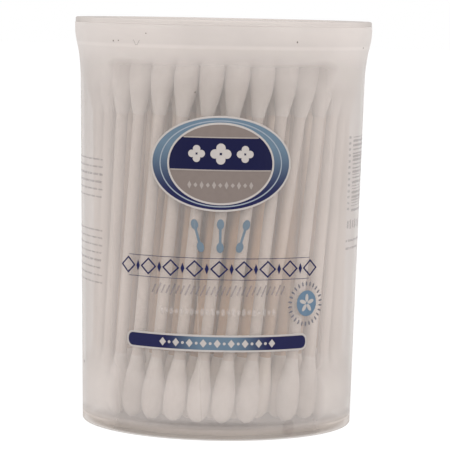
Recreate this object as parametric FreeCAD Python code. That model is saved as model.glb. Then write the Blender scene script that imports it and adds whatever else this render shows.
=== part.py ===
import FreeCAD, Part
import math
import os

os.makedirs("parts", exist_ok=True)

# A tub of cotton swabs: a clear frosted cup, a plug lid with a sunken dish, and one hundred
# double-ended swabs that stand in rings and lean round the cup like the threads of a screw.
# Millimetres, +Z up, origin under the middle of the foot. The front faces -Y.
# Plan angles are in degrees, counted from the front towards +X.

# Swab
swab_length = 76.0
stem_diameter = 2.4
tip_diameter = 4.74
tip_length = 13.0
tip_widest_from_end = 4.6
tip_end_diameter = 2.9
cotton_over_stem = 0.1
swab_sides = 5
length_spread = 0.3
length_wave_degrees = 137.0

# How the swabs stand
swab_to_wall_at_foot = 0.08
swab_to_wall_at_top = 0.5
swab_to_floor = 0.1
swab_to_lid = 0.6
gap_between_rings = 0.11
gap_between_tips = 0.03
wall_ring_slack = 0.16
ring_turn = 28.5
twist = 17.8
feet_gap_width = 9.0
feet_gap_direction = 23.7

# Cup
foot_radius_at_ground = 28.5
draft = 1.17
wall = 0.7
foot_rim_width = 1.2
foot_bevel = 0.3
floor_underside = 1.9
floor_thickness = 1.0
floor_corner_bevel = 0.6
flare_depth = 12.0
flare_slope = 13.5
mouth_at_plug_radius = 30.85
lip_radius = 31.3
lip_land_height = 1.1

# Lid
plug_depth = 4.4
plug_clearance = 0.1
skirt_thickness = 0.9
flange_thickness = 1.0
flange_inset = 0.1
flange_bevel = 0.3
dish_radius = 26.0
dish_wall = 0.8
dish_draft = 1.5
panel_thickness = 0.8

full_turn = 360.0
up = FreeCAD.Vector(0, 0, 1)
origin = FreeCAD.Vector(0, 0, 0)

# Levels that follow from the sizes above
floor_top = floor_underside + floor_thickness
swab_top_level = floor_top + swab_to_floor + swab_length
panel_underside = swab_top_level + swab_to_lid
lip_height = panel_underside + plug_depth
lid_top = lip_height + flange_thickness
flare_start = lip_height - flare_depth
flare_end = lip_height - lip_land_height
mouth_radius = lip_radius - wall


def wall_radius(height):
    """Outside radius of the drafted wall at a height."""
    return foot_radius_at_ground + height * math.tan(math.radians(draft))


def at(radius, height):
    """A point of a turned profile."""
    return FreeCAD.Vector(radius, 0, height)


def line(start, end):
    """A straight edge."""
    return Part.LineSegment(start, end).toShape()


def side(start, end):
    """A drafted side of a turned profile: three poles in line, so that it turns into one strip."""
    curve = Part.BezierCurve()
    curve.setPoles([start, (start + end) * 0.5, end])
    return curve.toShape()


def smooth_edge(start, start_slope, end, end_slope):
    """A curve that leaves start and reaches end at slopes given in degrees from upright."""
    reach = (end.z - start.z) / 3.0
    leave = FreeCAD.Vector(math.tan(math.radians(start_slope)), 0, 1) * reach
    arrive = FreeCAD.Vector(math.tan(math.radians(end_slope)), 0, 1) * reach
    curve = Part.BezierCurve()
    curve.setPoles([start, start + leave, end - arrive, end])
    return curve.toShape()


def flare_foot(inset):
    """The point where the drafted wall begins to flare, moved towards the axis by inset."""
    return at(wall_radius(flare_start) - inset, flare_start)


def plug_level(inset):
    """The point of the mouth beside the foot of the lid's plug."""
    return at(mouth_at_plug_radius - inset, panel_underside)


def turned(edges):
    """A solid turned about the Z axis from the edges of a closed profile."""
    border = Part.Wire(Part.__sortEdges__(edges))
    return Part.Face(border).revolve(origin, up, full_turn)


def path(points):
    """Straight edges through a row of points."""
    return [line(points[i], points[i + 1]) for i in range(len(points) - 1)]


def make_tub():
    foot_inner = wall_radius(0) - foot_rim_width
    foot_outer = wall_radius(foot_bevel)
    bevel_top = at(foot_outer, foot_bevel)
    corner_height = floor_top + floor_corner_bevel
    corner_radius = wall_radius(corner_height) - wall
    corner_top = at(corner_radius, corner_height)
    lip_start = at(lip_radius, flare_end)
    lip_inner = at(mouth_radius, lip_height)
    outside = [
        side(bevel_top, flare_foot(0)),
        smooth_edge(flare_foot(0), draft, plug_level(0), flare_slope),
        smooth_edge(plug_level(0), flare_slope, lip_start, 0.0),
    ]
    lip = path([lip_start, at(lip_radius, lip_height), lip_inner])
    inside = [
        side(lip_inner, plug_level(wall)),
        smooth_edge(flare_foot(wall), draft, plug_level(wall), flare_slope),
        side(flare_foot(wall), corner_top),
    ]
    base = path([
        corner_top,
        at(corner_radius - floor_corner_bevel, floor_top),
        at(0, floor_top),
        at(0, floor_underside),
        at(foot_inner, floor_underside),
        at(foot_inner, 0),
        at(foot_outer - foot_bevel, 0),
        bevel_top,
    ])
    return turned(outside + lip + inside + base)


def make_lid():
    plug_head = mouth_radius - plug_clearance
    plug_foot = mouth_at_plug_radius - wall - plug_clearance
    flange_radius = lip_radius - flange_inset
    panel_top = panel_underside + panel_thickness
    dish_foot = dish_radius - (lid_top - panel_top) * math.tan(math.radians(dish_draft))
    flange = path([
        at(dish_radius, lid_top),
        at(flange_radius - flange_bevel, lid_top),
        at(flange_radius, lid_top - flange_bevel),
        at(flange_radius, lip_height),
        at(plug_head, lip_height),
    ])
    skirt = [
        side(at(plug_head, lip_height), at(plug_foot, panel_underside)),
        line(at(plug_foot, panel_underside), at(plug_foot - skirt_thickness, panel_underside)),
        side(at(plug_foot - skirt_thickness, panel_underside), at(plug_head - skirt_thickness, lip_height)),
        line(at(plug_head - skirt_thickness, lip_height), at(dish_radius + dish_wall, lip_height)),
    ]
    panel = path([
        at(dish_foot + dish_wall, panel_underside),
        at(0, panel_underside),
        at(0, panel_top),
        at(dish_foot, panel_top),
    ])
    dish = [
        side(at(dish_radius + dish_wall, lip_height), at(dish_foot + dish_wall, panel_underside)),
        side(at(dish_foot, panel_top), at(dish_radius, lid_top)),
    ]
    return turned(flange + skirt + panel + dish)


def plan_point(radius, angle):
    """A plan position from its distance to the axis and its angle from the front."""
    turn = math.radians(angle)
    return FreeCAD.Vector(radius * math.sin(turn), -radius * math.cos(turn), 0)


def chord_angle(chord, radius):
    """The angle at the axis between two places of a ring that lie a chord apart."""
    return 2 * math.degrees(math.asin(min(1.0, chord / 2 / radius)))


def ring_places(ring):
    """Foot and head places of one ring of swabs, as (radius, angle) pairs."""
    foot_radius = ring_radii[ring]
    head_radius = foot_radius * spread
    if ring == len(ring_radii) - 1:
        return [((0.0, 0.0), (0.0, 0.0))]
    pitch = tip_diameter + gap_between_tips
    if ring == 0:
        pitch = pitch + wall_ring_slack
    count = int(full_turn / chord_angle(pitch, foot_radius))
    head_direction = feet_gap_direction + twist
    head_step = full_turn / count
    if ring == 0:
        # One swab of the wall ring has slipped back at its foot and left a gap there.
        gap_angle = chord_angle(feet_gap_width, foot_radius)
        foot_step = (full_turn - gap_angle) / (count - 2)
        places = [((ring_radii[1], feet_gap_direction), (head_radius, head_direction))]
        for index in range(1, count):
            foot_angle = feet_gap_direction + gap_angle / 2 + foot_step * (index - 1)
            head_angle = head_direction + head_step * index
            places.append(((foot_radius, foot_angle), (head_radius, head_angle)))
        return places
    if ring == 1:
        # The slipped foot takes one place here, so the other feet share what is left.
        foot_step = head_step
        head_step = full_turn / (count - 1)
        places = []
        for index in range(1, count):
            foot_angle = feet_gap_direction + foot_step * index
            head_angle = head_direction + head_step * (index - 0.5)
            places.append(((foot_radius, foot_angle), (head_radius, head_angle)))
        return places
    # Each inner ring starts further round, so that no line of sight runs between the swabs.
    places = []
    for index in range(count):
        foot_angle = feet_gap_direction + ring_turn * ring + head_step * index
        places.append(((foot_radius, foot_angle), (head_radius, foot_angle + twist)))
    return places


def outline(centre, axis, outward, diameter):
    """Corners of a swab's outline on a plane across its axis, the first one facing outward."""
    across = axis.cross(outward)
    corners = []
    for corner in range(swab_sides):
        turn = math.radians(full_turn * corner / swab_sides)
        reach = outward * math.cos(turn) + across * math.sin(turn)
        corners.append(centre + reach * (diameter / 2))
    return corners


def faceted(sections):
    """A convex solid with flat faces between a row of parallel outlines."""
    faces = []
    for low, high in zip(sections, sections[1:]):
        for corner in range(swab_sides):
            following = (corner + 1) % swab_sides
            border = [low[corner], low[following], high[following], high[corner], low[corner]]
            faces.append(Part.Face(Part.makePolygon(border)))
    for cap in (sections[0], sections[-1]):
        faces.append(Part.Face(Part.makePolygon(cap + [cap[0]])))
    solid = Part.Solid(Part.Shell(faces))
    if solid.Volume < 0:
        solid.reverse()
    return solid


def make_swab(foot_place, head_place, length):
    """Stem, lower tip and upper tip of one swab between two places of the rings."""
    foot = plan_point(*foot_place)
    head = plan_point(*head_place)
    run = (head - foot).Length
    rise = math.sqrt(length ** 2 - run ** 2)
    lean_lift = tip_end_diameter / 2 * run / length
    foot.z = floor_top + swab_to_floor + lean_lift
    head.z = foot.z + rise
    axis = head - foot
    axis.normalize()
    middle = foot + head
    outward = FreeCAD.Vector(middle.x, middle.y, 0)
    if outward.Length < tip_diameter:
        outward = FreeCAD.Vector(0, -1, 0)
    outward = outward - axis * outward.dot(axis)
    outward.normalize()
    tip_base_diameter = stem_diameter + 2 * cotton_over_stem

    def section(distance, diameter):
        return outline(foot + axis * distance, axis, outward, diameter)

    lower = faceted([
        section(0, tip_end_diameter),
        section(tip_widest_from_end, tip_diameter),
        section(tip_length, tip_base_diameter),
    ])
    stem = faceted([
        section(tip_length, stem_diameter),
        section(length - tip_length, stem_diameter),
    ])
    upper = faceted([
        section(length - tip_length, tip_base_diameter),
        section(length - tip_widest_from_end, tip_diameter),
        section(length, tip_end_diameter),
    ])
    return stem, lower, upper


def make_ring(ring):
    """Stems, lower tips and upper tips of one ring of swabs."""
    stems = []
    lower_tips = []
    upper_tips = []
    for index, (foot_place, head_place) in enumerate(ring_places(ring)):
        wave = math.sin(math.radians(length_wave_degrees * (index + ring)))
        length = swab_length - length_spread * (1 + wave) / 2
        stem, lower, upper = make_swab(foot_place, head_place, length)
        stems.append(stem)
        lower_tips.append(lower)
        upper_tips.append(upper)
    return Part.Compound(stems), Part.Compound(lower_tips), Part.Compound(upper_tips)


# Rings of swabs, from the wall to the one that stands in the middle
ring_pitch = tip_diameter + gap_between_rings
foot_clear = wall_radius(floor_top) - wall - swab_to_wall_at_foot
head_level = swab_top_level - tip_widest_from_end
head_clear = min(wall_radius(head_level), mouth_at_plug_radius) - wall - swab_to_wall_at_top
wall_ring_radius = foot_clear - tip_diameter / 2
spread = (head_clear - tip_diameter / 2) / wall_ring_radius
ring_radii = []
radius = wall_ring_radius
while radius >= ring_pitch:
    ring_radii.append(radius)
    radius = radius - ring_pitch
ring_radii.append(0.0)

nodes = {"tub": make_tub(), "lid": make_lid()}
for ring in range(len(ring_radii)):
    stems, lower_tips, upper_tips = make_ring(ring)
    nodes["stems_row_%d" % (ring + 1)] = stems
    nodes["lower_tips_row_%d" % (ring + 1)] = lower_tips
    nodes["upper_tips_row_%d" % (ring + 1)] = upper_tips

for name, shape in nodes.items():
    shape.exportStep("parts/%s.step" % name)
    print(name, len(shape.Solids), "solids, %.1f mm3" % shape.Volume)
print("height %.2f, swab rings" % lid_top, [round(r, 2) for r in ring_radii], "spread %.3f" % spread)
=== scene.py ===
# %% [markdown]
# # A tub of cotton swabs
# The object is a frosted plastic cup with a flared mouth. A plug lid closes it, with a sunken dish in
# its top, and one hundred paper-stem swabs stand inside and lean round the wall like the threads of a
# screw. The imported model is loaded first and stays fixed: every piece made here lies where it says.

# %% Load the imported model
import math
import random
import bpy
import numpy as np
from mathutils import Matrix, Vector
from mathutils.bvhtree import BVHTree
from mathutils.geometry import interpolate_bezier


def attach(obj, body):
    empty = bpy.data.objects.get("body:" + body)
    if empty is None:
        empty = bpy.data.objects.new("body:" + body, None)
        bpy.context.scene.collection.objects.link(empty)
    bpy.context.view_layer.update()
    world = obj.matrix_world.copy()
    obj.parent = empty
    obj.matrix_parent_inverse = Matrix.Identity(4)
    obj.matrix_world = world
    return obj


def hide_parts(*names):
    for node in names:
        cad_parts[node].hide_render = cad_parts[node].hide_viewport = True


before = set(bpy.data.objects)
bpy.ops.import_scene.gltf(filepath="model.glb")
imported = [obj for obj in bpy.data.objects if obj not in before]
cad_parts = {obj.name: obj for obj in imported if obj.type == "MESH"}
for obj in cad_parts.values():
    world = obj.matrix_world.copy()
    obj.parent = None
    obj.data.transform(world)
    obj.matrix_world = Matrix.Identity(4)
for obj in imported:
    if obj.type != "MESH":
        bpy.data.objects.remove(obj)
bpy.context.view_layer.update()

MM = 0.001

# %% [markdown]
# ## Camera
# The photograph was taken from a little above the rim with a long lens, and the tub leans about one
# degree to the right in it. The distance comes from the ellipse of the foot against that of the rim,
# and the lens follows from the width of the lip. A turn about the camera's own view axis gives the lean.

# %% Camera
camera_data = bpy.data.cameras.new("camera")
camera_data.lens = 198.8
camera_data.sensor_width = 36.0
look_down = math.radians(84.763)
lean = math.radians(1.13)
camera_place = (1.1 * MM, -526 * MM, 89.6 * MM)
camera = bpy.data.objects.new("camera", camera_data)
bpy.context.scene.collection.objects.link(camera)
look = Matrix.Rotation(look_down, 4, "X") @ Matrix.Rotation(lean, 4, "Z")
camera.matrix_world = Matrix.Translation(camera_place) @ look
bpy.context.scene.camera = camera
bpy.context.scene.view_settings.view_transform = "Standard"
print("camera", tuple(round(value, 4) for value in camera.location))

# %% [markdown]
# ## Writing shader maths
# A material is a graph of nodes. This small class wraps one socket and overloads the arithmetic signs,
# so that a mask reads like a formula, and every other node comes from one method that takes its type,
# its settings and the values or links of its sockets.

# %% Shader maths
class Wire:
    """One socket of a material, on which Python arithmetic adds Math nodes."""

    def __init__(self, tree, socket=None):
        self.tree = tree
        self.socket = socket

    def node(self, kind, settings=None, inputs=None, output=0):
        """Adds a node of a type, with its settings and the values or wires for its sockets."""
        made = self.tree.nodes.new(kind)
        for name, value in (settings or {}).items():
            setattr(made, name, value)
        for key, value in (inputs or {}).items():
            if isinstance(value, Wire):
                self.tree.links.new(value.socket, made.inputs[key])
            else:
                made.inputs[key].default_value = value
        return Wire(self.tree, made.outputs[output])

    def calc(self, operation, first, second=0.0):
        """Adds a Math node. Either value may be a wire or a number."""
        return self.node("ShaderNodeMath", {"operation": operation}, {0: first, 1: second})

    def __add__(self, other):
        return self.calc("ADD", self, other)

    def __sub__(self, other):
        return self.calc("SUBTRACT", self, other)

    def __mul__(self, other):
        return self.calc("MULTIPLY", self, other)

    def __radd__(self, other):
        return self.calc("ADD", other, self)

    def __rmul__(self, other):
        return self.calc("MULTIPLY", other, self)

    def step(self, low, high):
        """Rises smoothly from 0 to 1 as this value goes from low to high."""
        settings = {"interpolation_type": "SMOOTHSTEP"}
        return self.node("ShaderNodeMapRange", settings, {0: self, 1: low, 2: high, 3: 0.0, 4: 1.0})

    def blend(self, below, above):
        """The colour below where this mask is 0 and the colour above where it is 1."""
        return self.node("ShaderNodeMix", {"data_type": "RGBA"}, {0: self, 6: below, 7: above}, output=2)


def paint(red, green, blue):
    """A colour as read from a screen, from 0 to 255, made linear for a shader."""
    values = [value / 255 for value in (red, green, blue)]
    linear = [v / 12.92 if v <= 0.04045 else ((v + 0.055) / 1.055) ** 2.4 for v in values]
    return (*linear, 1.0)


def new_finish(name, **sockets):
    """A material with one Principled shader, and the values that stay the same all over it."""
    material = bpy.data.materials.new(name)
    material.use_nodes = True
    shader = material.node_tree.nodes["Principled BSDF"]
    for socket, value in sockets.items():
        shader.inputs[socket.replace("_", " ")].default_value = value
    start = Wire(material.node_tree)
    place = start.node("ShaderNodeTexCoord", output=3)
    return material, shader, place


def join_to(shader, socket, wire):
    """Links a worked-out value or colour to one of the shader's own sockets."""
    wire.tree.links.new(wire.socket, shader.inputs[socket])


def noise(place, scale, detail=2.0, roughness=0.5, squeeze=(1, 1, 1)):
    """Cloudy values about 0.5 at so many lumps a metre, longer along an axis where squeeze is under 1."""
    inverse = tuple(1 / value for value in squeeze)
    moved = place.node("ShaderNodeMapping", {"vector_type": "TEXTURE"}, {"Vector": place, "Scale": inverse})
    inputs = {"Vector": moved, "Scale": scale, "Detail": detail, "Roughness": roughness}
    return place.node("ShaderNodeTexNoise", {}, inputs)


def bump(height, distance, strength=1.0):
    """A normal from heights between 0 and 1 that stand for a distance in metres."""
    inputs = {"Height": height, "Distance": distance, "Strength": strength}
    return height.node("ShaderNodeBump", {}, inputs)


print("shader maths ready")

# %% [markdown]
# ## Turning a profile
# The cup and the lid are injection moulded and round, so half of their section is enough. A plane is
# merged to one point, the point is extruded along the outline, its corners are rounded with a vertex
# bevel, and the closed outline is spun round the axis. A modelled circle with scaled rings would also
# do, but the outline keeps the wall's thickness and each level in one list of numbers.

# %% Turn a profile
same_place = 1e-7
merge_distance = 2e-6


def only(thing):
    """Leaves one object selected and active."""
    if bpy.context.mode != "OBJECT":
        bpy.ops.object.mode_set(mode="OBJECT")
    bpy.ops.object.select_all(action="DESELECT")
    thing.select_set(True)
    bpy.context.view_layer.objects.active = thing


def pick(thing, test):
    """Selects the vertices that pass a test, and leaves the object in edit mode."""
    bpy.ops.object.mode_set(mode="EDIT")
    bpy.ops.mesh.select_mode(type="VERT")
    bpy.ops.mesh.select_all(action="DESELECT")
    bpy.ops.object.mode_set(mode="OBJECT")
    for vertex in thing.data.vertices:
        vertex.select = test(vertex.co)
    bpy.ops.object.mode_set(mode="EDIT")


def first_point(name, place):
    """A mesh object with one vertex, in edit mode."""
    bpy.ops.object.select_all(action="DESELECT")
    bpy.ops.mesh.primitive_plane_add(size=MM, location=(0, 0, 0))
    thing = bpy.context.object
    thing.name = name
    bpy.ops.object.mode_set(mode="EDIT")
    bpy.ops.mesh.select_all(action="SELECT")
    bpy.ops.mesh.merge(type="CENTER")
    bpy.ops.transform.translate(value=place)
    return thing


def turn_profile(name, outline, rounds, steps):
    """Spins a closed outline of (radius, height) in mm. Corners named in rounds get a radius."""
    points = [Vector((radius, 0, height)) * MM for radius, height in outline]
    thing = first_point(name, points[0])
    for start, end in zip(points, points[1:]):
        bpy.ops.mesh.extrude_region_move(TRANSFORM_OT_translate={"value": end - start})
    pick(thing, lambda co: (co - points[0]).length < same_place or (co - points[-1]).length < same_place)
    bpy.ops.mesh.edge_face_add()
    for corner, radius, segments in rounds:
        place = Vector((corner[0], 0, corner[1])) * MM
        pick(thing, lambda co: (co - place).length < same_place)
        bpy.ops.mesh.bevel(offset=radius * MM, segments=segments, affect="VERTICES")
    bpy.ops.mesh.select_all(action="SELECT")
    bpy.ops.mesh.spin(steps=steps, angle=2 * math.pi, center=(0, 0, 0), axis=(0, 0, 1))
    bpy.ops.mesh.select_all(action="SELECT")
    bpy.ops.mesh.remove_doubles(threshold=merge_distance)
    bpy.ops.mesh.normals_make_consistent(inside=False)
    bpy.ops.object.mode_set(mode="OBJECT")
    only(thing)
    bpy.ops.object.shade_smooth_by_angle(angle=math.radians(40))
    return thing


def node_surface(name):
    """The surface of a CAD node, to measure distances from."""
    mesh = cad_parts[name].data
    corners = [vertex.co.copy() for vertex in mesh.vertices]
    return BVHTree.FromPolygons(corners, [list(face.vertices) for face in mesh.polygons])


def furthest(thing, surface):
    """The largest distance in mm from a piece's vertices to a surface."""
    return max(surface.find_nearest(vertex.co)[3] for vertex in thing.data.vertices) / MM


print("profile tools ready")

# %% [markdown]
# ## The cup
# The wall is 0.7 mm of frosted polypropylene and leans outwards by just over a degree, so that the
# moulding leaves its mould. It flares over the last 12 mm into an upright lip. The floor is set 1.9 mm
# above the ground inside a foot rim, and its lower side is the lowest light line in the photograph.

# %% The cup
wall = 0.7
foot_radius = 28.5
draft = math.tan(math.radians(1.17))
flare_start = 72.0
flare_slope = math.tan(math.radians(13.5))
flare_end = 82.9
panel_underside = 79.6
lip_height = 84.0
mouth_at_plug = 30.85
lip_radius = 31.3
mouth_radius = lip_radius - wall
floor_top = 2.9
floor_underside = 1.9
foot_inside = 27.3


def wall_radius(height):
    """Outside radius of the cup's wall at a height, in mm, below the flare."""
    return foot_radius + height * draft


def flare(inset):
    """The curve of the flare from the straight wall up to the foot of the lid's plug."""
    low = Vector((wall_radius(flare_start) - inset, 0, flare_start))
    high = Vector((mouth_at_plug - inset, 0, panel_underside))
    reach = (high.z - low.z) / 3
    leave = low + Vector((draft, 0, 1)) * reach
    arrive = high - Vector((flare_slope, 0, 1)) * reach
    return [(point.x, point.z) for point in interpolate_bezier(low, leave, arrive, high, 9)]


def flare_head():
    """The curve from the foot of the plug up to the upright lip."""
    low = Vector((mouth_at_plug, 0, panel_underside))
    high = Vector((lip_radius, 0, flare_end))
    reach = (high.z - low.z) / 3
    leave = low + Vector((flare_slope, 0, 1)) * reach
    points = interpolate_bezier(low, leave, high - Vector((0, 0, reach)), high, 7)
    return [(point.x, point.z) for point in points[1:]]


levels = [1, 6, 12, 20, 30, 40, 50, 60, 66]
outside = [(wall_radius(level), level) for level in levels] + flare(0) + flare_head()
lip = [(lip_radius, lip_height), (mouth_radius, lip_height)]
inside = flare(wall)[::-1] + [(wall_radius(level) - wall, level) for level in levels[::-1]]
ground = (wall_radius(0.25), 0.0)
floor_corner = (wall_radius(floor_top) - wall, floor_top)
foot_corner = (foot_inside, 0.0)
cup_outline = outside + lip + inside + [
    floor_corner,
    (0.0, floor_top),
    (0.0, floor_underside),
    (foot_inside, floor_underside),
    foot_corner,
    ground,
]
cup_rounds = [
    (ground, 0.3, 4),
    (floor_corner, 0.8, 5),
    (lip[0], 0.2, 3),
    (lip[1], 0.15, 2),
    (foot_corner, 0.2, 3),
]
round_steps = 224
cup = turn_profile("cup", cup_outline, cup_rounds, round_steps)
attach(cup, "tub")
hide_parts("tub")
print("cup faces", len(cup.data.polygons))
print("off the node by at most %.3f mm" % furthest(cup, node_surface("tub")))

# %% [markdown]
# ## The lid
# The lid is a shallow plug. Its flange lies on the lip, a skirt goes down inside the mouth, and its
# middle is sunk into a dish. The dish shows from above, and hides behind the milky lip from the front.

# %% The lid
dish_radius = 26.0
panel_top = panel_underside + 0.8
lid_top = lip_height + 1.0
dish_foot = dish_radius - (lid_top - panel_top) * math.tan(math.radians(1.5))
gap = 0.1
skirt = 0.9
web = 0.8
plug_head = mouth_radius - gap
plug_foot = mouth_at_plug - wall - gap
lid_outline = [
    (dish_radius, lid_top),
    (lip_radius - gap, lid_top),
    (lip_radius - gap, lip_height),
    (plug_head, lip_height),
    (plug_foot, panel_underside),
    (plug_foot - skirt, panel_underside),
    (plug_head - skirt, lip_height),
    (dish_radius + web, lip_height),
    (dish_foot + web, panel_underside),
    (0.0, panel_underside),
    (0.0, panel_top),
    (dish_foot, panel_top),
]
lid_rounds = [
    (lid_outline[1], 0.35, 4),
    (lid_outline[0], 0.3, 3),
    (lid_outline[11], 0.5, 4),
    (lid_outline[4], 0.2, 3),
    (lid_outline[5], 0.2, 3),
    (lid_outline[8], 0.4, 3),
]
lid = turn_profile("plug_lid", lid_outline, lid_rounds, round_steps)
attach(lid, "lid")
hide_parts("lid")
print("lid faces", len(lid.data.polygons))
print("off the node by at most %.3f mm" % furthest(lid, node_surface("lid")))

# %% [markdown]
# ## Where the swabs stand
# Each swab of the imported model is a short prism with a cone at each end. The two ends of every stem give
# the line that the swab follows, so the finished swabs stand exactly where the plain ones do.

# %% Read the swabs
def loose_parts(mesh):
    """The corner points of each separate solid in a mesh, after equal points are merged."""
    copy = bpy.data.objects.new("copy", mesh.copy())
    bpy.context.scene.collection.objects.link(copy)
    only(copy)
    bpy.ops.object.mode_set(mode="EDIT")
    bpy.ops.mesh.select_all(action="SELECT")
    bpy.ops.mesh.remove_doubles(threshold=1e-6)
    bpy.ops.object.mode_set(mode="OBJECT")
    group = list(range(len(copy.data.vertices)))

    def root(index):
        while group[index] != index:
            index = group[index]
        return index

    for edge in copy.data.edges:
        group[root(edge.vertices[0])] = root(edge.vertices[1])
    parts = {}
    for vertex in copy.data.vertices:
        parts.setdefault(root(vertex.index), []).append(tuple(vertex.co))
    bpy.data.objects.remove(copy)
    return [np.array(points) for points in parts.values()]


def stem_ends(points):
    """The middles of a stem's two end faces, the lower one first."""
    middle = points.mean(axis=0)
    along = np.linalg.svd(points - middle)[2][0]
    if along[2] < 0:
        along = -along
    side = (points - middle) @ along
    return Vector(points[side < 0].mean(axis=0)), Vector(points[side > 0].mean(axis=0))


rows = 6
swab_lines = {}
for row in range(1, rows + 1):
    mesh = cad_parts["stems_row_%d" % row].data
    swab_lines[row] = [stem_ends(points) for points in loose_parts(mesh)]
stem_length = sum((high - low).length for low, high in swab_lines[1]) / len(swab_lines[1])
print("swabs by row", [len(lines) for lines in swab_lines.values()])
print("stem %.2f mm" % (stem_length / MM))

# %% [markdown]
# ## One cotton tip
# Cotton is wound on the end of the stem as it turns, so a tip is a slim drop: widest near its round end
# and drawn in towards the stem. Its half outline is spun round the stem. Rows that hide behind others
# get fewer faces, because each shape is repeated many times.

# %% One cotton tip
tip_length = 13.0
neck_radius = 1.24
tip_depths = [0.2, 0.72, 1.6, 2.9, 4.7, 7.0, 9.1, 11.0, 12.6]
tip_radii = [0.82, 1.42, 1.96, 2.28, 2.38, 2.29, 1.98, 1.6, 1.33]


def tip_shape(name, picked, steps):
    """A cotton tip that points up, with its round end at the origin and the stem below it."""
    body = [(tip_radii[index], -tip_depths[index]) for index in picked]
    outline = [(0.0, 0.0)] + body + [(neck_radius, -tip_length)]
    points = [Vector((radius, 0, height)) * MM for radius, height in outline]
    thing = first_point(name, points[0])
    for start, end in zip(points, points[1:]):
        bpy.ops.mesh.extrude_region_move(TRANSFORM_OT_translate={"value": end - start})
    bpy.ops.mesh.extrude_region_move(TRANSFORM_OT_translate={"value": (-points[-1].x, 0, 0)})
    bpy.ops.mesh.select_all(action="SELECT")
    bpy.ops.mesh.spin(steps=steps, angle=2 * math.pi, center=(0, 0, 0), axis=(0, 0, 1))
    bpy.ops.mesh.select_all(action="SELECT")
    bpy.ops.mesh.remove_doubles(threshold=merge_distance)
    bpy.ops.mesh.normals_make_consistent(inside=False)
    bpy.ops.object.mode_set(mode="OBJECT")
    only(thing)
    bpy.ops.object.shade_smooth_by_angle(angle=math.radians(60))
    return thing


fine_tip = tip_shape("fine_tip", range(9), 24)
plain_tip = tip_shape("plain_tip", (0, 1, 3, 4, 6, 8), 12)
print("tip faces", len(fine_tip.data.polygons), len(plain_tip.data.polygons))

# %% [markdown]
# ## One stem
# The stem is a strip of paper rolled tightly. A cylinder is added at its size, and an inset gives each
# end an inner ring of corners. The ends meet the necks of the two tips, which are a little wider.

# %% One stem
stem_radius = 1.2
end_ring = 0.8


def stem_shape(name, sides):
    """A stem that points up from the origin."""
    bpy.ops.object.select_all(action="DESELECT")
    bpy.ops.mesh.primitive_cylinder_add(
        vertices=sides, radius=stem_radius * MM, depth=stem_length, location=(0, 0, stem_length / 2))
    thing = bpy.context.object
    thing.name = name
    bpy.ops.object.transform_apply(location=True)
    bpy.ops.object.mode_set(mode="EDIT")
    bpy.ops.mesh.select_mode(type="FACE")
    bpy.ops.mesh.select_all(action="DESELECT")
    bpy.ops.object.mode_set(mode="OBJECT")
    for face in thing.data.polygons:
        face.select = abs(face.normal.z) > 0.9
    bpy.ops.object.mode_set(mode="EDIT")
    bpy.ops.mesh.inset(thickness=end_ring * MM)
    bpy.ops.object.mode_set(mode="OBJECT")
    only(thing)
    bpy.ops.object.shade_smooth_by_angle(angle=math.radians(50))
    return thing


fine_stem = stem_shape("fine_stem", 16)
plain_stem = stem_shape("plain_stem", 8)
print("stem faces", len(fine_stem.data.polygons), len(plain_stem.data.polygons))

# %% [markdown]
# ## One hundred swabs
# Each swab gets its own copy of the tip and the stem, laid along its line. Wound cotton is never quite
# even, so the tips differ a little in girth and in how they are turned. A soft cloud pattern then pushes
# the surface in and out by about a tenth of a millimetre at most.

# %% One hundred swabs
chance = random.Random(76)
full_turn = 6.28
upper_girth = 1.07
lumps = bpy.data.textures.new("cotton_lumps", type="CLOUDS")
lumps.noise_scale = 1.8 * MM


def along(low, high, spin):
    """A placing that sends +Z from low towards high, turned by spin about it."""
    turn = (high - low).to_track_quat("Z", "Y").to_matrix().to_4x4()
    return Matrix.Translation(low) @ turn @ Matrix.Rotation(spin, 4, "Z")


def lay_copies(name, model, places, node):
    """One piece from copies of a model, each with its own mesh, in place of a CAD node."""
    copies = []
    for index, place in enumerate(places):
        mesh = model.data.copy()
        mesh.transform(place)
        copy = bpy.data.objects.new("%s_%d" % (name, index), mesh)
        bpy.context.scene.collection.objects.link(copy)
        copies.append(copy)
    only(copies[0])
    for copy in copies:
        copy.select_set(True)
    if len(copies) > 1:
        bpy.ops.object.join()
    piece = copies[0]
    piece.name = name
    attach(piece, "tub")
    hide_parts(node)
    return piece


def tip_place(start, end, girth):
    """A placing for a tip that is wound on a stem from start on and ends at end."""
    across = (chance.uniform(0.96, 1.0) * girth, chance.uniform(0.96, 1.0) * girth)
    turn = along(start, end, chance.uniform(0, full_turn))
    return turn @ Matrix.Translation((0, 0, tip_length * MM)) @ Matrix.Diagonal((*across, 1, 1))


stem_pieces = []
tip_pieces = []
for row in range(1, rows + 1):
    tip_model, stem_model = (fine_tip, fine_stem) if row <= 2 else (plain_tip, plain_stem)
    stem_places, low_places, high_places = [], [], []
    for low, high in swab_lines[row]:
        reach = (high - low).normalized() * tip_length * MM
        exact = Matrix.Diagonal((1, 1, (high - low).length / stem_length, 1))
        stem_places.append(along(low, high, chance.uniform(0, full_turn)) @ exact)
        high_places.append(tip_place(high, high + reach, upper_girth))
        low_places.append(tip_place(low, low - reach, 1.0))
    stems = lay_copies("paper_stems_%d" % row, stem_model, stem_places, "stems_row_%d" % row)
    below = lay_copies("tips_below_%d" % row, tip_model, low_places, "lower_tips_row_%d" % row)
    above = lay_copies("tips_above_%d" % row, tip_model, high_places, "upper_tips_row_%d" % row)
    stem_pieces.append(stems)
    tip_pieces.extend((below, above))
for piece in tip_pieces:
    only(piece)
    uneven = piece.modifiers.new("uneven", "DISPLACE")
    uneven.texture = lumps
    uneven.texture_coords = "LOCAL"
    uneven.strength = 0.28 * MM
    uneven.mid_level = 0.5
    bpy.ops.object.modifier_apply(modifier="uneven")
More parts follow.
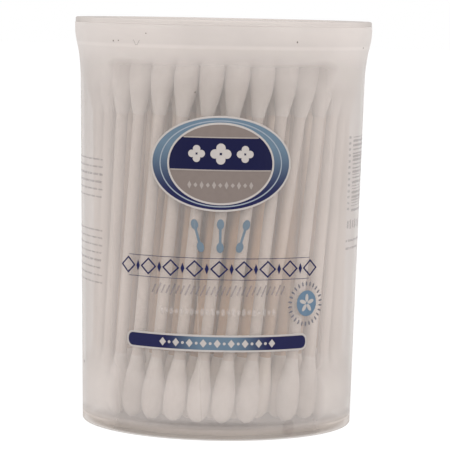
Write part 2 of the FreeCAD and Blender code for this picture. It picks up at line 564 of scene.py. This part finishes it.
for model in (fine_tip, plain_tip, fine_stem, plain_stem):
    bpy.data.objects.remove(model)
print("swab faces", sum(len(piece.data.polygons) for piece in stem_pieces + tip_pieces))

# %% [markdown]
# ## Frosted plastic
# The wall is milky: it scatters part of the light at once and lets the rest through. A rough glass
# shader would do it, but its blur hides the swabs and is lost in a plain export, so the plastic is a
# pale surface that is mostly clear, with its milkiness as the alpha. Swabs that stand away from the
# wall look fainter, so the milkiness grows over the flare, where the wall leaves the tips. Where the
# plastic is seen edge on, its colour is darkened as painted shade, on the plug more than on the cup.
# The colour of the foot is darkened as painted shade too, and so is the top of the lid's flange. In
# the clear part the milkiness has a limit, which keeps the swabs crisp.

# %% Frosted plastic
clear_limit = 0.295


def from_axis(place):
    """Distance from the axis of the tub, in metres."""
    sideways = place.node("ShaderNodeVectorMath", {"operation": "MULTIPLY"}, {0: place, 1: (1.0, 1.0, 0.0)})
    return sideways.node("ShaderNodeVectorMath", {"operation": "LENGTH"}, {0: sideways}, output=1)


def height_above(place):
    """Height over the ground, in metres."""
    return place.node("ShaderNodeSeparateXYZ", {}, {0: place}, output=2)


def rising(length, low, high):
    """Rises from 0 at low to 1 at high, both in mm. It falls instead when low is the larger."""
    return length.step(low * MM, high * MM)


def frosted(name, milk, edge_milk, dark, dark_at_lip):
    """Milky plastic. The milk is the share of light that each surface scatters, worked out from height."""
    material, shader, place = new_finish(name, Roughness=0.38, IOR=1.49, Specular_IOR_Level=0.35)
    height = height_above(place)
    cloud = noise(place, 45.0, detail=3.0)
    grain = noise(place, 2600.0, detail=1.0)
    edge = place.node("ShaderNodeLayerWeight", {}, {"Blend": 0.5}, output=1)

    even = cloud.step(0.35, 0.75).blend(paint(229, 220, 215), paint(219.84, 211.2, 206.4))
    # Painted shade: the colour darkens where the plastic is seen edge on, by dark, and by dark_at_lip over
    # the flare.
    darkness = dark + rising(height, 72, 79) * (dark_at_lip - dark)
    shaded = (edge.step(0.4, 0.9) * darkness).blend(even, paint(150, 140, 134))
    # Painted shade at the foot: the colour is darker below 3.4 mm.
    painted_foot_shade = rising(height, 1.0, 3.4).blend(paint(204, 192, 183), shaded)
    # Painted shade on the top of the flange, above 84 mm, where light from above falls strongest.
    flange = (rising(height, 83.9, 84.3) * 0.5).blend(painted_foot_shade, paint(196, 187, 181))
    join_to(shader, "Base Color", flange)

    rise = rising(height, 2.6, 5.0)
    upright = rise.calc("MAXIMUM", rise, rising(from_axis(place), 27.4, 28.0))
    milkiness = milk(height) + edge * (upright * edge_milk) + (cloud - 0.5) * 0.05
    most = clear_limit + rising(height, 75.2, 79.4) * 0.5 + edge.step(0.3, 0.6) * 0.5
    join_to(shader, "Alpha", milkiness.calc("MINIMUM", milkiness, most))
    join_to(shader, "Roughness", 0.32 + cloud * 0.12 + grain * 0.08)
    join_to(shader, "Normal", bump(grain * 0.6 + cloud * 0.4, 0.006 * MM, 0.6))
    return material


def cup_milk(height):
    """Clearest half way up, milkier over the flare and at the foot, with lines under floor and lip."""
    flare_milk = rising(height, 69, 78) * 0.18 + rising(height, 75, 79.4) * 0.18
    foot_milk = rising(height, 15, 8) * rising(height, 2.8, 4.5) * 0.16
    rim_milk = rising(height, 3.2, 2.6) * 0.05 + rising(height, 1.9, 1.6) * 0.1
    floor_line = rising(height, 1.55, 1.8) * rising(height, 2.2, 1.95) * 0.25
    lip_line = rising(height, 79.0, 79.5) * rising(height, 80.2, 79.7) * 0.07
    return 0.13 + flare_milk + (foot_milk + rim_milk) + floor_line + lip_line


def lid_milk(height):
    """Milkier in the flange, where the plastic lies flat."""
    return 0.24 + rising(height, 83.6, 84.1) * 0.4


cup_plastic = frosted("frosted_cup", cup_milk, 0.48, 0.22, 0.12)
lid_plastic = frosted("frosted_lid", lid_milk, 0.5, 0.8, 0.8)
cup.data.materials.append(cup_plastic)
lid.data.materials.append(lid_plastic)
print("plastic", [material.name for material in (cup_plastic, lid_plastic)])

# %% [markdown]
# ## Cotton and rolled paper
# Cotton is matt and nearly white, with fine fibres wound round the stem and a slightly darker shade
# in the hollows of its bump, which is painted shade. The paper of the stem is greyer and smooth, with
# a faint grain along it. Light that gets into the bundle has met warm paper many times, and that is
# painted: both turn browner away from the outer side of the ring, the paper most of all in its lower
# half and lighter higher up, and the inner cotton lighter too. The tips near the mouth are painted
# paler, as light comes in there. Painted shade darkens the upper tips below their ends and the upper
# half of the outer stems.

# %% Cotton and paper
def outer_side(place):
    """1 on the outer side of the first row of swabs, and 0 from its inner side inwards."""
    return rising(from_axis(place), 21.5, 26)


def cotton():
    """Wound cotton: pale, matt, with fibres and soft lumps."""
    material, shader, place = new_finish(
        "wound_cotton", Roughness=0.95, Specular_IOR_Level=0.15, Sheen_Weight=0.15)
    fibres = noise(place, 2400.0, detail=3.0, roughness=0.65, squeeze=(1, 1, 0.45))
    soft = noise(place, 420.0, detail=2.0)
    # Painted shade: the cotton is darker where its bump is low.
    shade = (fibres * 0.5 + soft * 0.5).step(0.3, 0.7)
    pale = shade.blend(paint(188, 178, 171), paint(200, 190, 183))
    height = height_above(place)
    # Painted shade: the upper tips are darker from 58 to 72 mm up.
    shaded_upper_tips = (rising(height, 58, 72) * 0.6).blend(pale, paint(176, 166, 159))
    # Painted light: the ends of the upper tips are paler from 74 mm up.
    lighter = (rising(height, 74, 78.5) * 0.8).blend(shaded_upper_tips, paint(222, 213, 206))
    # Painted light inside the bundle: the inner rows' cotton is warmer and lighter than the outer side.
    join_to(shader, "Base Color", outer_side(place).blend(paint(212, 198, 186), lighter))
    join_to(shader, "Normal", bump(fibres * 0.6 + soft * 0.4, 0.12 * MM, 0.7))
    return material


def rolled_paper():
    """Rolled paper: a little greyer than cotton, with grain along the stem."""
    material, shader, place = new_finish("rolled_paper", Roughness=0.7, Specular_IOR_Level=0.3)
    grain = noise(place, 900.0, detail=3.0, squeeze=(1, 1, 6))
    pale = grain.step(0.3, 0.7).blend(paint(180, 166, 156), paint(191, 177, 167))
    height = height_above(place)
    # Painted light and shade inside the bundle: the inner paper is brown and dark low down, and lighter
    # from 44 to 62 mm up.
    hollow = rising(height, 44, 62).blend(paint(184, 149, 117), paint(220, 198, 180))
    # Painted shade: the outer stems are darker from 40 to 56 mm up.
    outer = (rising(height, 40, 56) * 0.5).blend(pale, paint(172, 159, 150))
    join_to(shader, "Base Color", outer_side(place).blend(hollow, outer))
    join_to(shader, "Normal", bump(grain, 0.03 * MM, 0.5))
    return material


cotton_finish = cotton()
paper_finish = rolled_paper()
for pieces, finish in ((tip_pieces, cotton_finish), (stem_pieces, paper_finish)):
    for piece in pieces:
        piece.data.materials.clear()
        piece.data.materials.append(finish)
print("finishes", cotton_finish.name, paper_finish.name)

# %% [markdown]
# ## Printing on the cup
# The cup is screen printed, so each ink is a thin field on the outside of the wall. Every field is drawn
# flat, as if the wall were unrolled: across is the length of arc from the middle of the front, and up is
# the height. It is then cut into narrow strips, rolled round the wall and given the thickness of ink.
# Painting the marks in the shader would also do, but a field with its own edge stays sharp in any view.

# %% Tools for the print
strip = 1.4 * MM
ink_thickness = 0.02 * MM


def outside_radius(height):
    """Outside radius of the cup at any height, the flare too, in mm."""
    return np.interp(height, [point[1] for point in outside], [point[0] for point in outside])


def start_print(name):
    """An empty flat field, in edit mode, to which marks are added."""
    thing = first_point(name, (0, 0, 0))
    bpy.ops.mesh.delete(type="VERT")
    bpy.ops.mesh.select_mode(type="FACE")
    return thing


def shape_to(place, width, height, turn):
    """Gives the selected face of the field its width, height and turn in degrees about its middle."""
    bpy.ops.transform.resize(value=(width, 1, height), center_override=place)
    bpy.ops.transform.rotate(value=math.radians(-turn), orient_axis="Y", center_override=place)


def mark(across, up, half_width, half_height, corners=32, turn=0.0, ring=0.0):
    """An ellipse with so many corners, or a ring of that breadth. Four corners make a lozenge."""
    place = (across * MM, 0, up * MM)
    bpy.ops.mesh.select_all(action="DESELECT")
    bpy.ops.mesh.primitive_circle_add(
        vertices=corners, radius=MM, fill_type="NGON", location=place, rotation=(math.pi / 2, 0, 0))
    shape_to(place, half_width, half_height, turn)
    if ring:
        bpy.ops.mesh.inset(thickness=ring * MM)
        bpy.ops.mesh.delete(type="FACE")


def bar(across, up, width, height, turn=0.0, rounding=0.0):
    """A bar with square corners or rounded ones."""
    place = (across * MM, 0, up * MM)
    bpy.ops.mesh.select_all(action="DESELECT")
    bpy.ops.mesh.primitive_plane_add(size=MM, location=place, rotation=(math.pi / 2, 0, 0))
    shape_to(place, width, height, turn)
    if rounding:
        bpy.ops.mesh.bevel(offset=rounding * MM, segments=6, affect="VERTICES")


def roll_on(lift, material):
    """Cuts the field into strips, rolls it round the wall at a lift in mm and gives it ink."""
    thing = bpy.context.object
    bpy.ops.object.mode_set(mode="OBJECT")
    places = [vertex.co.x for vertex in thing.data.vertices]
    bpy.ops.object.mode_set(mode="EDIT")
    for index in range(1, math.ceil((max(places) - min(places)) / strip)):
        bpy.ops.mesh.select_all(action="SELECT")
        bpy.ops.mesh.bisect(plane_co=(min(places) + index * strip, 0, 0), plane_no=(1, 0, 0))
    bpy.ops.object.mode_set(mode="OBJECT")
    for vertex in thing.data.vertices:
        radius = (outside_radius(vertex.co.z / MM) + lift) * MM
        turn = vertex.co.x / radius
        vertex.co = (radius * math.sin(turn), -radius * math.cos(turn), vertex.co.z)
    only(thing)
    thickness = thing.modifiers.new("thickness", "SOLIDIFY")
    thickness.thickness = ink_thickness
    thickness.offset = 1.0
    bpy.ops.object.modifier_apply(modifier="thickness")
    thing.data.materials.append(material)
    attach(thing, "tub")
    prints.append(thing)


def ink(name, colour, second=None, axis=0, span=(0, 1), opacity=1.0):
    """A printed ink. It may grade into a second colour over a span in mm along an axis."""
    material, shader, place = new_finish(name, Roughness=0.45, Specular_IOR_Level=0.12, Alpha=opacity)
    base = paint(*colour)
    if second:
        along_axis = place.node("ShaderNodeSeparateXYZ", {}, {0: place}, output=axis)
        distance = along_axis.calc("ABSOLUTE", along_axis)
        base = rising(distance, *span).blend(base, paint(*second))
    patch = noise(place, 900.0, detail=3.0).step(0.3, 0.75)
    settings = {"data_type": "RGBA", "blend_type": "MULTIPLY"}
    inputs = {0: patch * 0.12, 6: base, 7: paint(200, 200, 200)}
    worn = patch.node("ShaderNodeMix", settings, inputs, output=2)
    join_to(shader, "Base Color", worn)
    return material


prints = []
navy = ink("navy_ink", (22, 25, 68))
white_ink = ink("white_ink", (174, 167, 163))
grey_ink = ink("grey_ink", (118, 107, 102))
blue_ink = ink("light_blue_ink", (96, 117, 136))
sign_ink = ink("sign_ink", (108, 122, 134), opacity=0.85)
ring_ink = ink("ring_ink", (26, 28, 66), (93, 112, 128), axis=2, span=(50, 61))
band_ink = ink("band_ink", (92, 110, 126), (24, 25, 64), span=(2.5, 11))
small_ink = ink("small_print_ink", (122, 120, 130), opacity=0.6)
side_ink = ink("side_print_ink", (118, 114, 122), opacity=0.13)
pale_ink = ink("pale_ink", (140, 134, 140), opacity=0.26)
faint_ink = ink("faint_ink", (208, 200, 196), opacity=0.18)
print("inks", len(bpy.data.materials))

# %% [markdown]
# ## The oval badge
# The badge stacks its inks, each a little further out than the last: a white oval, a ring that grades
# from light blue to navy with a thin pale line in it, and a rounder grey field. A navy band crosses the
# field with three white cotton bolls on it, each of four lobes, over a row of lozenges.

# %% The oval badge
badge_across = 0.0
badge_up = 56.35
belt_top = 5.3
belt_foot = -1.3


def badge_field(name, half_width, half_height, lift, material, ring=0.0, top=None, foot=None):
    """One ink of the badge: an oval or a ring about its middle, which may be cut at a top and a foot."""
    start_print(name)
    mark(badge_across, badge_up, half_width, half_height, corners=80, ring=ring)
    for level, down in ((top, 1), (foot, -1)):
        if level is not None:
            bpy.ops.mesh.select_all(action="SELECT")
            cut = (0, 0, (badge_up + level) * MM)
            bpy.ops.mesh.bisect(plane_co=cut, plane_no=(0, 0, down), clear_outer=True)
    roll_on(lift, material)


badge_field("badge_white", 14.7, 9.65, 0.01, white_ink)
badge_field("badge_blue", 14.3, 9.25, 0.04, ring_ink)
badge_field("badge_thread", 12.7, 8.75, 0.07, ink("thread_ink", (140, 147, 156)), ring=0.24)
badge_field("badge_edge", 11.0, 8.3, 0.1, white_ink)
badge_field("badge_grey", 10.6, 7.9, 0.13, grey_ink)
deep_navy = ink("deep_navy_ink", (9, 11, 50))
badge_field("badge_navy", 10.6, 7.9, 0.16, deep_navy, top=belt_top, foot=belt_foot)
start_print("badge_bolls")
for across, size in ((-4.9, 0.85), (0.0, 1.05), (4.9, 0.85)):
    for side, rise in ((-1, 0), (1, 0), (0, 1), (0, -1)):
        lobe = 1.12 * size
        place = (badge_across + across + side * lobe, badge_up + 2.0 + rise * lobe)
        mark(*place, 0.9 * size, 0.9 * size, corners=20)
roll_on(0.19, white_ink)
start_print("badge_lines")
for level, width in ((belt_top, 15.2), (belt_foot, 20.6)):
    bar(badge_across, badge_up + level, width, 0.24)
for step in range(-5, 6):
    mark(badge_across + step * 1.25, badge_up - 4.3, 0.42, 0.8 if step % 2 else 0.5, corners=4)
roll_on(0.19, ink("badge_line_ink", (150, 141, 136)))
print("badge faces", sum(len(thing.data.polygons) for thing in prints))

# %% [markdown]
# ## The marks on the front
# Below the badge are three swabs in light blue, a navy border of lozenges and two paler lines. A flower
# in a ring of short strokes sits at the right, and a band that grades from navy to light blue closes the
# front. Each line is one piece, because one ink is printed at a time.

# %% The marks on the front
sign_up = 41.8
border_up = 35.1
border_across = 0.1
border_spacing = 2.5
flower_across = 19.5
flower_up = 27.8
band_across = -0.1
band_up = 19.95

start_print("swab_sign")
for across, turn in ((-4.4, -16), (0.2, 0), (4.8, 16)):
    for end in (-2.35, 2.35):
        tip_across = across + end * math.sin(math.radians(turn))
        tip_up = sign_up + end * math.cos(math.radians(turn))
        mark(tip_across, tip_up, 0.74, 1.08, corners=20, turn=turn)
    bar(across, sign_up, 0.5, 2.76, turn=turn)
roll_on(0.02, sign_ink)
start_print("lozenge_border")
for step in range(-8, 9):
    if step % 2 == 0:
        mark(border_across + step * border_spacing, border_up, 1.85, 1.75, corners=4, ring=0.3)
    else:
        mark(border_across + step * border_spacing, border_up, 0.42, 1.1, corners=4)
for side in (-2.15, 2.15):
    bar(border_across, border_up + side, 39.6, 0.1)
roll_on(0.02, navy)
start_print("slanting_line")
for step in range(-13, 14):
    bar(step * 1.04, 30.7, 0.32, 1.9 if step % 3 else 2.5, turn=24)
roll_on(0.02, pale_ink)
start_print("faint_line")
for step in range(-11, 12):
    mark(step * 1.06, 26.3, 0.4, 0.8 if step % 2 else 0.5, corners=12)
roll_on(0.02, faint_ink)
start_print("round_mark_dots")
for step in range(26):
    turn = 2 * math.pi * step / 26
    place = (flower_across - 0.2 + 4.0 * math.sin(turn), flower_up - 0.1 + 4.15 * math.cos(turn))
    mark(*place, 0.2, 0.5, corners=8, turn=math.degrees(turn))
roll_on(0.02, small_ink)
start_print("round_mark")
mark(flower_across, flower_up, 2.55, 2.65, corners=36)
roll_on(0.02, blue_ink)
start_print("round_mark_petals")
for step in range(5):
    turn = 2 * math.pi * step / 5
    place = (flower_across + 1.05 * math.sin(turn), flower_up + 1.1 * math.cos(turn))
    mark(*place, 0.4, 0.85, corners=14, turn=math.degrees(turn))
roll_on(0.05, white_ink)
start_print("band_white")
bar(band_across, band_up, 39.7, 3.45, rounding=1.45)
roll_on(0.01, white_ink)
start_print("band_blue")
bar(band_across, band_up, 38.9, 2.65, rounding=1.15)
roll_on(0.04, band_ink)
start_print("band_marks")
for step in range(-8, 9):
    if step % 2:
        mark(step * 1.42, band_up, 0.3, 0.3, corners=12)
    else:
        mark(step * 1.42, band_up, 0.72, 0.86, corners=4)
roll_on(0.07, white_ink)
print("front marks", [thing.name for thing in prints[8:]])

# %% [markdown]
# ## Small print at the sides
# Blocks of small print run round both sides. They are kept as rows of plain dashes: short bars in groups
# read as small print at this size and say nothing. A stack of fine bars stands at the right.

# %% Small print at the sides
def dashes(first, last, up, height):
    """A row of dashes of uneven length."""
    across = first
    while across < last - 0.6:
        width = min(chance.uniform(0.7, 3.2), last - across)
        bar(across + width / 2, up, width, height)
        across += width + 0.45


thin = 0.32
bold = 0.45
line_spacing = 1.55
start_print("left_small_print")
for row in range(6):
    dashes(-47 + chance.uniform(0, 3), -28.4, 55.9 - row * line_spacing, bold if row in (2, 3) else thin)
for row in range(8):
    dashes(-47 + chance.uniform(0, 3), -28.3, 41.2 - row * line_spacing, bold if row == 4 else thin)
roll_on(0.02, side_ink)
start_print("right_small_print")
for row in range(2):
    dashes(32.4, 45 - row * 4, 39.7 - row * 1.6, bold)
for step in range(6):
    bar(33.1 + step * 1.5, 43.1, 0.75, 1.9 if step % 2 else 1.5)
for step in range(13):
    bar(33.0, 46.4 + step * 1.24, 1.0, 0.5)
level = 46.0
while level < 61.4:
    height = chance.choice((0.18, 0.3, 0.5))
    bar(40.5, level, 11.5, height)
    level += height / 2 + chance.choice((0.35, 0.5, 0.7))
roll_on(0.02, side_ink)
print("print pieces", len(prints), "faces", sum(len(thing.data.polygons) for thing in prints))

# %% [markdown]
# ## Marks of use
# The tub isn't new: a few dark specks sit under the rim, a fine hair lies over the flare and a scuff
# runs down the front as a long light streak. A faint dark patch lies on the foot. They are small
# fields as well, because their places are known and a field can be moved or left out.

# %% Marks of use
speck_ink = ink("specks", (110, 100, 92), opacity=0.42)
dark_patch_ink = ink("dark_patch", (120, 100, 88), opacity=0.035)
scuff_ink = ink("scuff", (236, 228, 222), opacity=0.07)
start_print("dark_specks")
for across, up, size in (
        (-24.8, 80.4, 0.2), (-23.3, 80.5, 0.16), (-16.2, 82.1, 0.14), (15.5, 80.9, 0.2), (37.6, 79.7, 0.2),
        (-5.4, 70.6, 0.16), (-38.5, 12.6, 0.3)):
    mark(across, up, size, size * 0.8, corners=7, turn=40 * across)
bar(-19.0, 80.3, 0.05, 1.1, turn=-28)
bar(-18.5, 79.75, 0.6, 0.05)
bar(-18.0, 80.25, 0.05, 1.0, turn=26)
roll_on(0.02, speck_ink)
start_print("scuffs")
bar(-4.45, 33.0, 0.22, 61.0, turn=-3.1)
roll_on(0.02, scuff_ink)
# A faint dark patch on the foot.
start_print("dark_patch")
bar(15.6, 2.3, 2.6, 3.2, turn=8, rounding=0.9)
roll_on(0.02, dark_patch_ink)
print("marks of use", [thing.name for thing in prints[-3:]])

# %% [markdown]
# ## Floor and light
# The photograph has a plain white ground. The floor keeps a faint shadow of the tub: to the camera it is
# mostly white, and a small share of it is lit like any floor. Three broad lamps and an even sky light
# the tub softly, at a level where a colour comes out about as it is written.

# %% Floor and light
bpy.ops.object.select_all(action="DESELECT")
bpy.ops.mesh.primitive_plane_add(size=8.0, location=(0, 0, 0))
floor = bpy.context.object
floor.name = "floor"
floor_finish = bpy.data.materials.new("floor_white")
floor_finish.use_nodes = True
tree = floor_finish.node_tree
tree.nodes.clear()
start = Wire(tree)


def straight_rays(start):
    """1 for rays that come from the camera, or by way of gloss or clear plastic, and 0 for others."""
    path = start.node("ShaderNodeLightPath").socket.node
    kinds = ("Is Camera Ray", "Is Glossy Ray", "Is Transmission Ray")
    seen = [Wire(start.tree, path.outputs[kind]) for kind in kinds]
    return start.calc("MINIMUM", seen[0] + seen[1] + seen[2], 1.0)


lit = start.node("ShaderNodeBsdfDiffuse", {}, {"Color": (0.55, 0.55, 0.55, 1.0)})
white = start.node("ShaderNodeEmission", {}, {"Color": (1.0, 1.0, 1.0, 1.0), "Strength": 1.15})
spot = start.node("ShaderNodeTexCoord", output=3)
# Painted shade under the tub: within 26 mm of the axis the white is left out, so the floor there is only
# lit like any floor and shows dark.
share = straight_rays(start) * (rising(from_axis(spot), 26, 28.5) * 0.85)
mixed = start.node("ShaderNodeMixShader", {}, {0: share, 1: lit, 2: white})
tree.links.new(mixed.socket, tree.nodes.new("ShaderNodeOutputMaterial").inputs[0])
floor.data.materials.append(floor_finish)

world = bpy.data.worlds.new("sky")
bpy.context.scene.world = world
world.use_nodes = True
world.node_tree.nodes.clear()
start = Wire(world.node_tree)
sky = start.node("ShaderNodeBackground", {}, {"Color": (1.0, 1.0, 1.0, 1.0), "Strength": 0.85})
ground_white = start.node("ShaderNodeBackground", {}, {"Color": (1.0, 1.0, 1.0, 1.0), "Strength": 1.0})
seen = start.node("ShaderNodeMixShader", {}, {0: straight_rays(start), 1: sky, 2: ground_white})
world.node_tree.links.new(seen.socket, world.node_tree.nodes.new("ShaderNodeOutputWorld").inputs[0])


def lamp(name, place, aim, size, power):
    """A square soft lamp that faces a point."""
    data = bpy.data.lights.new(name, "AREA")
    data.size = size
    data.energy = power
    thing = bpy.data.objects.new(name, data)
    bpy.context.scene.collection.objects.link(thing)
    turn = (Vector(aim) - Vector(place)).to_track_quat("-Z", "Y").to_matrix().to_4x4()
    thing.matrix_world = Matrix.Translation(place) @ turn
    return thing


middle = (0, 0, 0.045)
lamp_size = 0.6
lamps = [
    lamp("lamp_left", (-0.95, -0.75, 0.35), middle, lamp_size, 4.7),
    lamp("lamp_right", (0.95, -0.75, 0.35), middle, lamp_size, 5.1),
    lamp("lamp_front", (0.0, -1.2, 0.5), middle, lamp_size, 4.0),
]
print("lamps", [thing.name for thing in lamps])
